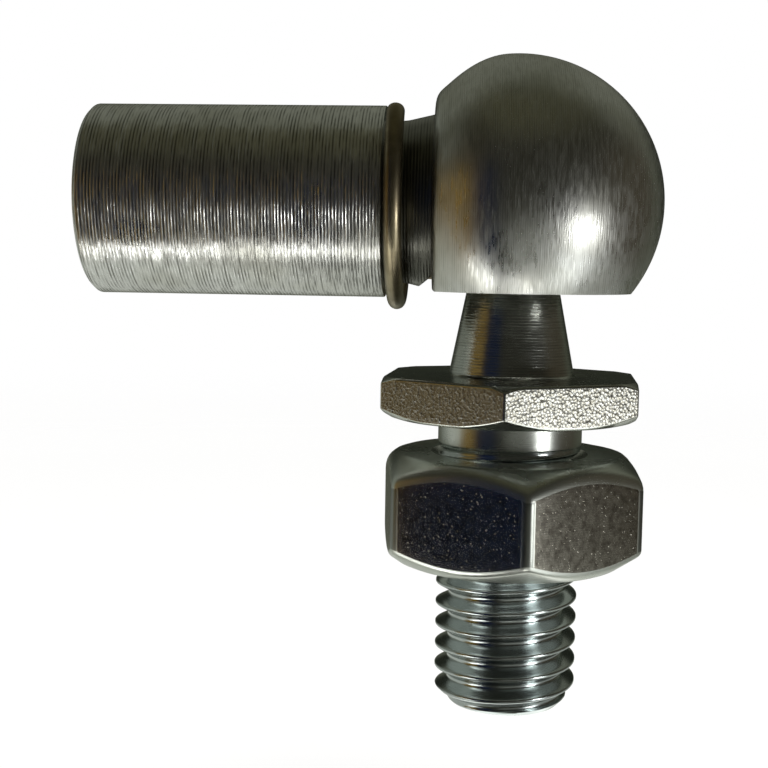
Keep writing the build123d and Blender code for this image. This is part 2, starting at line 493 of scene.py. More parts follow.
def carve(piece: Object, cutters: list[Object]) -> None:
    """Cut solids out of a piece and drop them, each cut face taking its cutter's finish.

    Args:
        piece: the object to cut.
        cutters: the objects that are cut out of it.
    """
    for cutter in cutters:
        cut = piece.modifiers.new("cut", "BOOLEAN")
        cut.operation, cut.solver, cut.material_mode = "DIFFERENCE", "EXACT", "TRANSFER"
        cut.object = cutter
    evaluated = piece.evaluated_get(bpy.context.evaluated_depsgraph_get())
    carved = bpy.data.meshes.new_from_object(evaluated)
    piece.modifiers.clear()
    piece.data = clean(carved)
    for cutter in cutters:
        bpy.data.objects.remove(cutter)


def wire(path: np.ndarray, radius: float, tip_rounding: float) -> Mesh:
    """Sweep a round wire along a path.

    Args:
        path: points of the wire's centre line, in millimetres.
        radius: the wire's radius.
        tip_rounding: rounding of both cut ends.

    Returns:
        A mesh in metres, with wire_lay on each point for the drawing lines.
    """
    sides = 28
    tip_rows = np.array([0.0, 0.02, 0.07, 0.14, 0.25])  # distances of the rows that round a cut end
    clear_of_tip = 0.3
    lines_round, lines_along = 3.0, 0.4  # drawing lines are close together round the wire and long along it
    run = np.concatenate([[0.0], np.cumsum(np.linalg.norm(np.diff(path, axis=0), axis=1))])
    keep = run[(run > clear_of_tip) & (run < run[-1] - clear_of_tip)]
    stations = np.concatenate([tip_rows, keep, run[-1] - tip_rows[::-1]])
    points = np.stack([np.interp(stations, run, path[:, i]) for i in range(3)], axis=1)
    inner = np.clip(tip_rounding - np.minimum(stations, run[-1] - stations), 0, tip_rounding)
    radii = radius - tip_rounding + np.sqrt(tip_rounding**2 - inner**2)
    tangents = np.gradient(points, axis=0)
    tangents /= np.linalg.norm(tangents, axis=1)[:, None]
    side = np.cross(tangents[0], [1.0, 0.3, 0.2])  # any direction that no wire starts along
    angles = np.linspace(0, TURN, sides + 1)
    cos, sin = np.cos(angles)[:, None], np.sin(angles)[:, None]
    rings, lays = [points[0] + 0 * cos], [np.zeros((sides + 1, 3))]
    for point, tangent, size, station in zip(points, tangents, radii, stations):
        side = side - tangent * float(side @ tangent)
        side /= np.linalg.norm(side)
        rings.append(point + size * (cos * side + sin * np.cross(tangent, side)))
        lays.append(np.hstack([lines_round * cos, lines_round * sin, 0 * cos + lines_along * station]))
    rings.append(points[-1] + 0 * cos)
    lays.append(lays[-1] * (0, 0, 1))
    return clean(grid_mesh("wire", np.array(rings) * MM, "wire_lay", np.array(lays)))


# ------------------------------------------------------------------ colours, nodes and patterns


def linear(colour: str) -> tuple[float, float, float, float]:
    """Turn an sRGB hex colour into linear light.

    Args:
        colour: the colour as #RRGGBB.

    Returns:
        Linear red, green and blue, and an alpha of 1.
    """
    parts = [int(colour[i : i + 2], 16) / 255 for i in (1, 3, 5)]
    red, green, blue = (p / 12.92 if p <= 0.04045 else ((p + 0.055) / 1.055) ** 2.4 for p in parts)
    return red, green, blue, 1.0


def add_node(tree: NodeTree, kind: str, inputs: dict | None = None, out: str | int = 0,
             **settings: str | bool) -> NodeSocket:
    """Add one node with its settings, values and links.

    Args:
        tree: the node tree.
        kind: the node's type without its ShaderNode prefix.
        inputs: values or output sockets for the node's inputs, by name or number.
        out: name or number of the output that is wanted.
        settings: the node's own properties.

    Returns:
        That output's socket.
    """
    node = tree.nodes.new("ShaderNode" + kind)
    for key, value in settings.items():
        setattr(node, key, value)
    for key, value in (inputs or {}).items():
        if isinstance(value, NodeSocket):
            tree.links.new(value, node.inputs[key])
        else:
            node.inputs[key].default_value = value
    return node.outputs[out]


def new_material(name: str) -> tuple[Material, NodeTree, Node]:
    """Start a material from the principled shader.

    Args:
        name: the material's name.

    Returns:
        The material, its node tree and its shader.
    """
    made = bpy.data.materials.new(name)
    made.use_nodes = True
    return made, made.node_tree, made.node_tree.nodes["Principled BSDF"]


def coordinates(tree: NodeTree, factors: Triple) -> NodeSocket:
    """The piece's own coordinates in millimetres, multiplied along each axis by a factor."""
    scaled = {0: add_node(tree, "TexCoord", out="Object"), 1: [PER_METRE * factor for factor in factors]}
    return add_node(tree, "VectorMath", scaled, operation="MULTIPLY")


def noise(tree: NodeTree, size_mm: float, detail: float = 2.0,
          stretch: Triple = (1.0, 1.0, 1.0)) -> NodeSocket:
    """Noise whose grains are about size_mm across, multiplied in frequency along each axis by stretch."""
    vector = coordinates(tree, tuple(share / size_mm for share in stretch))
    return add_node(tree, "TexNoise", {"Vector": vector, "Scale": 1.0, "Detail": detail}, "Fac")


def cells(tree: NodeTree, spacing_mm: float) -> NodeSocket:
    """Distance from the middle of the nearest of many scattered cells, in shares of their spacing."""
    vector = coordinates(tree, (1 / spacing_mm,) * 3)
    return add_node(tree, "TexVoronoi", {"Vector": vector, "Scale": 1.0}, "Distance")


def pits(tree: NodeTree, spacing_mm: float, size_mm: float, share: float) -> NodeSocket:
    """Scattered round pits.

    Args:
        tree: the node tree.
        spacing_mm: mean distance between the places where a pit may be.
        size_mm: width of a pit.
        share: share of those places that have a pit.

    Returns:
        0 in the middle of a pit and 1 outside.
    """
    away = cells(tree, spacing_mm)
    rim = size_mm / spacing_mm / 2
    bowl = {"Value": away, "From Min": rim * 0.2, "From Max": rim}  # the middle fifth is level
    pit = add_node(tree, "MapRange", bowl, interpolation_type="SMOOTHSTEP")
    chance = add_node(tree, "SeparateXYZ", {0: away.node.outputs["Color"]}, "X")
    kept = add_node(tree, "Math", {0: chance, 1: 1 - share}, operation="GREATER_THAN")
    return add_node(tree, "Mix", {"Factor": kept, 2: 1.0, 3: pit}, data_type="FLOAT")


def lay_over(tree: NodeTree, under: NodeSocket | tuple, over: str | float, pattern: NodeSocket,
             span: Pair, mask: NodeSocket | None = None) -> NodeSocket:
    """Lay a colour or a level over another where a pattern says.

    Args:
        tree: the node tree.
        under: what lies below.
        over: hex colour or level that is laid over it.
        pattern: the pattern.
        span: the pattern's values where it starts to cover and where it covers fully.
        mask: share of the surface that may be covered, if not all of it.

    Returns:
        The mixed colour or level.
    """
    share = add_node(tree, "MapRange", {"Value": pattern, "From Min": span[0], "From Max": span[1]})
    if mask is not None:
        share = add_node(tree, "Math", {0: share, 1: mask}, operation="MULTIPLY")
    if isinstance(over, str):
        pair = {"Factor": share, 6: under, 7: linear(over)}
        return add_node(tree, "Mix", pair, 2, data_type="RGBA")
    return add_node(tree, "Mix", {"Factor": share, 2: under, 3: over}, data_type="FLOAT")


# ------------------------------------------------------------------ finishes
# Noise lies mostly between 0.3 and 0.7, so a pattern's span says how much of the surface it covers.


@dataclass(frozen=True)
class ZincPlate:
    """Bright zinc plate on steel, the ground of every plated finish.

    Zinc plate is silver with a faint olive and blue cast. Handling clouds it and leaves a few small
    nicks, so the eye sees soft patches in colour and gloss, and specks that glint.
    """

    name: str
    colour: str = "#C9CAC6"
    cloud_colour: str = "#AFAFA5"
    roughness: float = 0.24
    cloud_mm: float = 5.0  # size of the clouded patches
    nick_mm: float = 0.16  # width of a nick
    nick_spacing_mm: float = 1.5
    nick_share: float = 0.3  # share of the places that have one
    nick_depth_mm: float = 0.008
    cloud_gloss: Pair = (0.85, 1.25)  # shares of the roughness where the plate is clear and clouded

    def clouds(self, tree: NodeTree) -> NodeSocket:
        """The slow pattern that colour and gloss follow."""
        return noise(tree, self.cloud_mm, detail=4.0)

    def tint(self, tree: NodeTree) -> NodeSocket:
        """Base colour, clouded in soft patches."""
        return lay_over(tree, linear(self.colour), self.cloud_colour, self.clouds(tree), span=(0.42, 0.68))

    def gloss(self, tree: NodeTree) -> NodeSocket:
        """Roughness, a little higher where the plate is clouded.

        Args:
            tree: the node tree.

        Returns:
            The roughness.
        """
        clear, clouded = (self.roughness * share for share in self.cloud_gloss)
        levels = {"From Min": 0.3, "From Max": 0.7, "To Min": clear, "To Max": clouded}
        return add_node(tree, "MapRange", {"Value": self.clouds(tree), **levels})

    def relief(self, tree: NodeTree) -> NodeSocket:
        """Normal with the nicks of handling."""
        nicks = pits(tree, self.nick_spacing_mm, self.nick_mm, self.nick_share)
        return add_node(tree, "Bump", {"Height": nicks, "Distance": self.nick_depth_mm * MM, "Strength": 1.0})

    def finish(self, tree: NodeTree, shader: Node) -> None:
        """Set what a kind of finish has besides colour, gloss and relief."""

    def material(self) -> Material:
        """Build the finish.

        Returns:
            The finish as a material.
        """
        made, tree, shader = new_material(self.name)
        shader.inputs["Metallic"].default_value = 1.0
        tree.links.new(self.tint(tree), shader.inputs["Base Color"])
        tree.links.new(self.gloss(tree), shader.inputs["Roughness"])
        tree.links.new(self.relief(tree), shader.inputs["Normal"])
        self.finish(tree, shader)
        return made


@dataclass(frozen=True)
class TurnedZinc(ZincPlate):
    """Zinc plate over turned steel.

    The tool leaves a fine groove for each turn of the work, which the eye sees as close rings that
    catch the light, some brighter than others, each breaking off and starting again. The feeds are
    those of ordinary turning. A real groove at such a feed is under 0.02 mm deep, so the coarsest
    are drawn a little deeper than that to show.
    """

    turned: Turned = Turned.ABOUT_SHANK
    feed_mm: float = 0.22  # the tool's advance in one turn
    groove_mm: float = 0.010  # depth of each groove
    tear_mm: float = 0.010  # depth of the irregular tears along the grooves
    stroke_mm: float = 1.0  # length over which a tear goes on round the work
    dull: float = 0.0  # how much duller the torn strokes are than the smooth ones
    groove_shade_colour: str = "#77776E"  # painted shade in the bottoms of the grooves
    groove_shade_share: float = 0.0  # how strongly the painted groove shade shows
    spread: float = 0.0  # how far the grooves spread a highlight across themselves, as anisotropy
    wander: float = 0.4  # how far the grooves wander, in feeds
    wander_feeds: float = 6.0  # widths of the patterns that follow the grooves, in feeds
    break_feeds: float = 1.5
    stroke_feeds: float = 1.1
    fresh_feeds: float = 2.2
    tear_feeds: float = 0.62

    def _strokes(self, tree: NodeTree, feeds: float, detail: float = 1.0) -> NodeSocket:
        """Noise that is drawn out round the work.

        Args:
            tree: the node tree.
            feeds: width of a stroke, in feeds.
            detail: how much finer noise the strokes carry.

        Returns:
            The noise.
        """
        slow = self.feed_mm / self.stroke_mm
        lay = (1.0, slow, slow) if self.turned is Turned.ABOUT_SHANK else (slow, slow, 1.0)
        return noise(tree, self.feed_mm * feeds, detail, lay)

    def _across_groove(self, tree: NodeTree) -> NodeSocket:
        """Place across the grooves, which wander a little.

        Args:
            tree: the node tree.

        Returns:
            Distance from the middle of the nearest groove, from 0 to 0.5 of the feed.
        """
        wander = self._strokes(tree, self.wander_feeds, detail=0.0)
        feeds = coordinates(tree, (1 / self.feed_mm,) * 3)
        along = add_node(tree, "SeparateXYZ", {0: feeds}, self.turned.value)
        shifted = add_node(tree, "Math", {0: wander, 1: self.wander, 2: along}, operation="MULTIPLY_ADD")
        return add_node(tree, "Math", {0: shifted, 1: 0.5}, operation="PINGPONG")

    def tint(self, tree: NodeTree) -> NodeSocket:
        """Base colour, with painted shade in fine broken lines in the bottoms of the grooves.

        Args:
            tree: the node tree.

        Returns:
            The colour.
        """
        if not self.groove_shade_share:
            return super().tint(tree)
        # the painted shade is full in the middle sixth of its groove, and fades out towards the cusps
        shape = {"From Min": 0.08, "From Max": 0.34, "To Min": self.groove_shade_share, "To Max": 0.0}
        line = add_node(tree, "MapRange", {"Value": self._across_groove(tree), **shape})
        breaks = self._strokes(tree, self.break_feeds, detail=2.0)
        return lay_over(tree, super().tint(tree), self.groove_shade_colour, breaks, span=(0.34, 0.6), mask=line)

    def gloss(self, tree: NodeTree) -> NodeSocket:
        """Roughness, which rises in fine strokes round the work.

        Args:
            tree: the node tree.

        Returns:
            The roughness.
        """
        levels = {"From Min": 0.35, "From Max": 0.7, "To Min": 0.0, "To Max": self.dull}
        duller = add_node(tree, "MapRange", {"Value": self._strokes(tree, self.stroke_feeds), **levels})
        return add_node(tree, "Math", {0: super().gloss(tree), 1: duller}, operation="ADD", use_clamp=True)

    def relief(self, tree: NodeTree) -> NodeSocket:
        """Grooves about the turning axis, each a hollow between two cusps, with tears along them.

        Args:
            tree: the node tree.

        Returns:
            The normal.
        """
        full_cusp = 8.0  # a cusp's square of 0.25 times a mean noise of 0.5 comes to 1
        full_tear = 2.0  # and so does the mean noise of the tears
        hollow = self._across_groove(tree)
        cusp = add_node(tree, "Math", {0: hollow, 1: hollow}, operation="MULTIPLY")
        fresh = self._strokes(tree, self.fresh_feeds)
        depth = add_node(tree, "Math", {0: cusp, 1: fresh}, operation="MULTIPLY")
        tears = {0: self._strokes(tree, self.tear_feeds), 1: full_tear * self.tear_mm / self.groove_mm}
        torn = add_node(tree, "Math", tears, operation="MULTIPLY")
        height = add_node(tree, "Math", {0: depth, 1: full_cusp, 2: torn}, operation="MULTIPLY_ADD")
        return add_node(tree, "Bump", {"Height": height, "Distance": self.groove_mm * MM, "Strength": 1.0,
                                       "Normal": super().relief(tree)})

    def finish(self, tree: NodeTree, shader: Node) -> None:
        """Spread highlights across the grooves where the finish asks for it.

        Args:
            tree: the node tree.
            shader: the principled shader.
        """
        if self.spread:
            around = add_node(tree, "Tangent", direction_type="RADIAL", axis=self.turned.value)
            tree.links.new(around, shader.inputs["Tangent"])
            shader.inputs["Anisotropic"].default_value = self.spread
            shader.inputs["Anisotropic Rotation"].default_value = 0.25  # of a turn, so across the grooves


@dataclass(frozen=True)
class FlatZinc(TurnedZinc):
    """Zinc plate over a turned hexagon whose flats were not machined.

    The chamfers and end faces are turned smooth. The flats keep the skin of the bar or forging, so
    the eye sees them apart by their colour and gloss.
    """

    flat_roughness: float = 0.42
    flat_colour: str = "#8F8B7C"
    flat_span: Pair = (0.35, 0.65)  # of the side's number, over which a flat begins, for a clean border

    def side(self, tree: NodeTree) -> NodeSocket:
        """1 on the hexagon's flats, -1 on its upright edges and 0 on its turned faces."""
        return add_node(tree, "Attribute", out="Fac", attribute_name="on_flat")

    def on_flat(self, tree: NodeTree) -> NodeSocket:
        """How much of the surface is a flat, with a clean border."""
        low, high = self.flat_span
        return add_node(tree, "MapRange", {"Value": self.side(tree), "From Min": low, "From Max": high})

    def tint(self, tree: NodeTree) -> NodeSocket:
        """Base colour, with the flats' own."""
        return lay_over(tree, super().tint(tree), self.flat_colour, self.side(tree), self.flat_span)

    def gloss(self, tree: NodeTree) -> NodeSocket:
        """Roughness, with the flats' own."""
        return lay_over(tree, super().gloss(tree), self.flat_roughness, self.side(tree), self.flat_span)


@dataclass(frozen=True)
class DrawnBarZinc(FlatZinc):
    """Zinc plate over a hexagon turned from drawn bar.

    The flats keep the bar's rough drawn skin, whose close round grains each send back a sparkle of
    any lamp that is near the mirror direction, and look matt away from it. The skin's real grains
    are about half as wide, which is too fine to show.
    """

    grain_mm: float = 0.2
    grain_depth_mm: float = 0.028
    speckle_mm: float = 0.14
    painted_sparkle_colour: str = "#B4B6B2"  # painted light specks that stand for the flats' sparkle

    def tint(self, tree: NodeTree) -> NodeSocket:
        """Base colour, with painted light specks on the flats for their sparkle."""
        speckle, mask = noise(tree, self.speckle_mm), self.on_flat(tree)
        return lay_over(tree, super().tint(tree), self.painted_sparkle_colour, speckle, span=(0.42, 0.66), mask=mask)

    def relief(self, tree: NodeTree) -> NodeSocket:
        """Grains on the flats, each a shallow bowl, over the grooves of the turned faces.

        Args:
            tree: the node tree.

        Returns:
            The normal.
        """
        across = cells(tree, self.grain_mm)
        bowl = add_node(tree, "Math", {0: across, 1: across}, operation="MULTIPLY")
        return add_node(tree, "Bump", {"Height": bowl, "Distance": self.grain_depth_mm * MM,
                                       "Strength": self.on_flat(tree), "Normal": super().relief(tree)})


@dataclass(frozen=True)
class FormedNutZinc(FlatZinc):
    """Zinc plate over a cold-formed nut.

    The die leaves the flats nearly smooth, with scattered small pits whose rims catch the light, a
    mottling where the plate is thin, and a slow waviness that bends reflections. The pits are drawn
    an eighth of a millimetre wide, which is as fine as shows.
    """

    pit_mm: float = 0.3  # mean distance between the places where a pit may be
    pit_width: float = 0.42  # of a pit and of a dull speck, as shares of that distance
    speck_width: float = 0.3
    pit_share: float = 0.5  # share of the places that have one
    speck_share: float = 0.75
    pit_depth_mm: float = 0.018
    grain_mm: float = 0.16
    grain_height: float = 0.35  # as a share of a pit's depth
    wave_mm: float = 2.4
    wave_depth_mm: float = 0.012
    worn_mm: float = 0.45  # size of the mottling
    worn_colour: str = "#79756C"  # where the plate is thin over the forging's skin
    edge_shade_colour: str = "#7A7D78"  # painted shade on the upright edges, which dims the lamp's highlight there
    speck_roughness: float = 0.42

    def tint(self, tree: NodeTree) -> NodeSocket:
        """Base colour, with the flats mottled where the plate is thin and painted shade on the upright edges.

        Args:
            tree: the node tree.

        Returns:
            The colour.
        """
        worn, mask = noise(tree, self.worn_mm, detail=6.0), self.on_flat(tree)
        formed = lay_over(tree, super().tint(tree), self.worn_colour, worn, span=(0.4, 0.66), mask=mask)
        # painted shade on the upright edges, to dim the lamp's highlight on them
        return lay_over(tree, formed, self.edge_shade_colour, self.side(tree), span=(-0.3, -0.7))

    def gloss(self, tree: NodeTree) -> NodeSocket:
        """Roughness, high in small specks of the flats, which show against any dark reflection.

        Args:
            tree: the node tree.

        Returns:
            The roughness.
        """
        spacing = self.pit_mm * 1.1  # so that specks and pits don't fall together
        clear = pits(tree, spacing, self.pit_mm * self.speck_width, self.speck_share)
        mask = self.on_flat(tree)
        return lay_over(tree, super().gloss(tree), self.speck_roughness, clear, span=(1.0, 0.0), mask=mask)

    def relief(self, tree: NodeTree) -> NodeSocket:
        """Pits, grain and waves on the flats over the faint grooves of the turned faces.

        Args:
            tree: the node tree.

        Returns:
            The normal.
        """
        height = pits(tree, self.pit_mm, self.pit_mm * self.pit_width, self.pit_share)
        for pattern, share in (
            (noise(tree, self.grain_mm), self.grain_height),
            (noise(tree, self.wave_mm, detail=1.0), self.wave_depth_mm / self.pit_depth_mm),
        ):
            height = add_node(tree, "Math", {0: pattern, 1: share, 2: height}, operation="MULTIPLY_ADD")
        return add_node(tree, "Bump", {"Height": height, "Distance": self.pit_depth_mm * MM,
                                       "Strength": self.on_flat(tree), "Normal": super().relief(tree)})


@dataclass(frozen=True)
class SpringWire(ZincPlate):
    """Drawn spring steel wire, left with a thin brown-grey oxide.

    Drawing leaves fine lines along the wire, so a highlight runs along it as a narrow streak. The
    real lines are a few hundredths of a millimetre apart, and are drawn 0.2 mm apart to show.
    """

    colour: str = "#978D74"
    cloud_colour: str = "#7A705A"
    roughness: float = 0.34
    cloud_mm: float = 1.6
    line_depth_mm: float = 0.004

    def relief(self, tree: NodeTree) -> NodeSocket:
        """Drawing lines that run along the wire.

        Args:
            tree: the node tree.

        Returns:
            The normal.
        """
        lay = add_node(tree, "Attribute", out="Vector", attribute_name="wire_lay")
        lines = add_node(tree, "TexNoise", {"Vector": lay, "Scale": 1.0, "Detail": 3.0}, "Fac")
        return add_node(tree, "Bump", {"Height": lines, "Distance": self.line_depth_mm * MM, "Strength": 1.0})


# ------------------------------------------------------------------ the pieces


@dataclass
class Piece:
    """A piece that stands for one CAD node and moves with its body."""

    name: str
    node: str
    body: str
    slot: str
    sharp_degrees: float = 50.0  # edges that turn by more than this stay sharp
    finishes: tuple[ZincPlate, ...] = ()

    def build(self) -> Mesh:
        """Build the piece's mesh."""
        raise NotImplementedError

    def dress(self, piece: Object) -> None:
        """Give the piece its finishes, in order."""
        for finish in self.finishes:
            piece.data.materials.append(finish.material())

    def cut(self, piece: Object) -> None:
        """Cut into the dressed piece, where it is made that way."""

    def add(self) -> Object:
        """Build, dress and cut the piece, and seat it in the frame.

        Returns:
            The piece's object.
        """
        piece = add_piece(self.name, self.build())
        self.dress(piece)
        self.cut(piece)
        shade(piece, self.sharp_degrees)
        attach(piece, self.body)
        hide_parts(self.node)
        log.info("%s: %d faces on body %s", self.name, len(piece.data.polygons), self.body)
        return piece


class StudFinish(IntEnum):
    """The ball stud's finishes by number."""

    FINE = 0
    COLLAR = 1
    THREAD = 2
    CONE = 3


@dataclass
class BallStud(Piece):
    """Ball, cone, hexagon collar, plain seat and M10 thread, turned from one hexagonal bar."""

    ball_diameter: float = 13.0
    crown_flat: float = 3.2
    neck_diameter: float = 6.3
    cone_base_diameter: float = 8.7
    cone_rounding: float = 0.25
    collar_drop: float = 11.8
    collar_thickness: float = 2.9
    top_ring: float = 1.6  # rows on the collar's end faces, out from the cone and from the seat
    under_ring: float = 1.2
    seat_diameter: float = 10.0
    seat_length: float = 1.8
    seat_rounding: float = 0.15
    seat_step: float = 0.05  # from the plain seat in to the thread's crests
    thread_diameter: float = 9.9
    thread_depth: float = 0.9
    thread_length: float = 18.35
    crest_flat: float = 0.14
    root_flat: float = 0.22
    runout_length: float = 1.3  # over which the last groove fades out below the seat
    end_diameter: float = 7.8
    end_ring: float = 0.3  # row on the end face, in from its edge
    collar: Hexagon = Hexagon(17.0, 0.14, -4.0, chamfer_degrees=30.0, insets=(0.66, 1.35), break_mm=0.11,
                              edges=(0.1, 0.1))
    finishes: tuple[ZincPlate, ...] = (
        # a fine feed with hardly a tear: the ball and the seat look satin and nearly plain
        TurnedZinc("zinc_plated_steel_fine_turned_seat", roughness=0.28, turned=Turned.ABOUT_STUD,
                   feed_mm=0.12, groove_mm=0.0015, tear_mm=0.0015, stroke_mm=1.5, colour="#BFC3BD"),
        # matt flats that sparkle from their grains and from painted light specks, between bright turned
        # chamfers
        DrawnBarZinc("zinc_plated_steel_drawn_bar", roughness=0.22, turned=Turned.ABOUT_STUD, feed_mm=0.2,
                     groove_mm=0.002, tear_mm=0.001, colour="#BFC3BD", flat_roughness=0.36,
                     flat_colour="#929085"),
        # rolling presses the flanks smooth, so they are the brightest and bluest metal
        TurnedZinc("zinc_plated_steel_rolled_thread", roughness=0.2, turned=Turned.ABOUT_STUD, feed_mm=0.14,
                   groove_mm=0.0005, tear_mm=0.0004, colour="#BBC2C1", cloud_colour="#9FA6A5"),
        # a heavier cut with torn rings, and broken grey lines of painted shade in its groove bottoms round
        # the cone
        TurnedZinc("zinc_plated_steel_coarse_turned_cone", roughness=0.24, turned=Turned.ABOUT_STUD,
                   feed_mm=0.19, groove_mm=0.005, tear_mm=0.009, stroke_mm=1.6, groove_shade_share=0.4,
                   groove_shade_colour="#5E605B", colour="#C3C7C2"),
    )

    def build(self) -> Mesh:
        """Build the stud from its crown down to its threaded end.

        Returns:
            The stud's mesh.
        """
        skin = Skin(Turned.ABOUT_STUD, self.collar.angles(a_side=32))
        ball = self.ball_diameter / 2
        crown = math.degrees(math.asin(self.crown_flat / 2 / ball))
        neck = 180 - math.degrees(math.asin(self.neck_diameter / 2 / ball))
        skin.profile([(0.0, math.sqrt(ball**2 - (self.crown_flat / 2) ** 2))], StudFinish.FINE)
        skin.profile(arc(ball, crown, neck, steps=44), StudFinish.FINE)
        top, base = -self.collar_drop, self.cone_base_diameter / 2
        cone = rounded([skin.end(), (base, top, self.cone_rounding), (base + self.top_ring, top, 0.0)])
        skin.profile(cone[1:], StudFinish.CONE)
        bottom = top - self.collar_thickness
        self.collar.add_sides(skin, top, bottom, StudFinish.COLLAR)
        seat, step, seat_end = self.seat_diameter / 2, self.seat_step, bottom - self.seat_length
        skin.profile(rounded([(seat + self.under_ring, bottom, 0.0), (seat, bottom, self.seat_rounding),
                              (seat, seat_end, step), (seat - step, seat_end - step, 0.0)]), StudFinish.FINE)
        self._add_thread(skin, seat_end - step)
        return skin.mesh(self.name)

    def _add_thread(self, skin: Skin, start: float) -> None:
        """Add the thread from the seat to the stud's end, and close the end face.

        Args:
            skin: the stud's skin, down to its seat.
            start: height where the thread starts.
        """
        crest, end_radius = self.thread_diameter / 2, self.end_diameter / 2
        end = -self.collar_drop - self.collar_thickness - self.seat_length - self.thread_length
        root = crest - self.thread_depth
        thread = Thread(M10_PITCH, crest, root, self.crest_flat, self.root_flat, M10_CREST)
        for along in thread.lines(skin.angles, start, end):
            fade = np.clip((start - along) / self.runout_length, 0, 1)
            fade = fade * fade * (3 - 2 * fade)
            cut = crest + (thread.radius(skin.angles, along) - crest) * fade
            skin.row(soft_min(cut, end_radius + (along - end)), along, StudFinish.THREAD)
        face = [(end_radius, end), (end_radius - self.end_ring, end), (0.0, end)]
        skin.profile(face, StudFinish.FINE)


class NutFinish(IntEnum):
    """The nut's finishes by number."""

    FORMED = 0
    TAPPED = 1


@dataclass
class HexNut(Piece):
    """Double-chamfered M10 nut with rounded upright edges and a countersink at each face."""

    top: float = -17.2
    height: float = 7.5
    countersink_diameter: float = 10.9
    minor_diameter: float = 8.4
    major_diameter: float = 10.05
    crest_flat: float = 0.21
    root_flat: float = 0.15
    rim: float = 0.06  # row on each face that keeps the countersink's edge crisp
    outer_ring: float = 0.6  # row on each face, in from where its chamfer starts
    shape: Hexagon = Hexagon(17.0, 0.7, 6.0, chamfer_degrees=35.0, insets=(1.95, 1.95), break_mm=0.2,
                             edges=(0.75, 0.35), crown=0.04)
    finishes: tuple[ZincPlate, ...] = (
        # smooth flats that mirror their surroundings through pits and mottling, with painted shade on the
        # upright edges
        FormedNutZinc("zinc_plated_steel_formed_nut", roughness=0.29, turned=Turned.ABOUT_STUD, feed_mm=0.16,
                      groove_mm=0.0012, tear_mm=0.0008, flat_roughness=0.2, flat_colour="#A3A096",
                      colour="#C6CAC3", cloud_colour="#B0B3AB"),
        # cut by the tap, with a plain satin look
        TurnedZinc("zinc_plated_steel_tapped_bore", turned=Turned.ABOUT_STUD, feed_mm=0.1, groove_mm=0.001,
                   tear_mm=0.0005),
    )

    def build(self) -> Mesh:
        """Build the nut as one closed loop: top face, sides, bottom face and threaded bore.

        Returns:
            The nut's mesh.
        """
        skin = Skin(Turned.ABOUT_STUD, self.shape.angles(a_side=30))
        sink, bottom = self.countersink_diameter / 2, self.top - self.height
        minor, major = self.minor_diameter / 2, self.major_diameter / 2
        face = [sink, sink + self.rim, self.shape.corner - self.shape.insets[0] - self.outer_ring]
        skin.profile([(radius, self.top) for radius in face], NutFinish.FORMED)
        self.shape.add_sides(skin, self.top, bottom, NutFinish.FORMED)
        skin.profile([(radius, bottom) for radius in reversed(face)], NutFinish.FORMED)
        # the nut's crests stand in the stud's roots, half a pitch from the stud's crests
        crest = M10_CREST + M10_PITCH / 2
        thread = Thread(M10_PITCH, minor, major, self.crest_flat, self.root_flat, crest)
        for along in thread.lines(skin.angles, bottom, self.top):
            from_face = np.minimum(along - bottom, self.top - along)
            cut = thread.radius(skin.angles, along)
            sunk = np.where(from_face < sink - minor, np.maximum(cut, sink - from_face), cut)
            skin.row(sunk, along, NutFinish.TAPPED)
        return skin.mesh(self.name)


class SocketFinish(IntEnum):
    """The socket's finishes by number."""

    SHANK = 0
    HEAD = 1
    TAPPED = 2
    GROOVE = 3


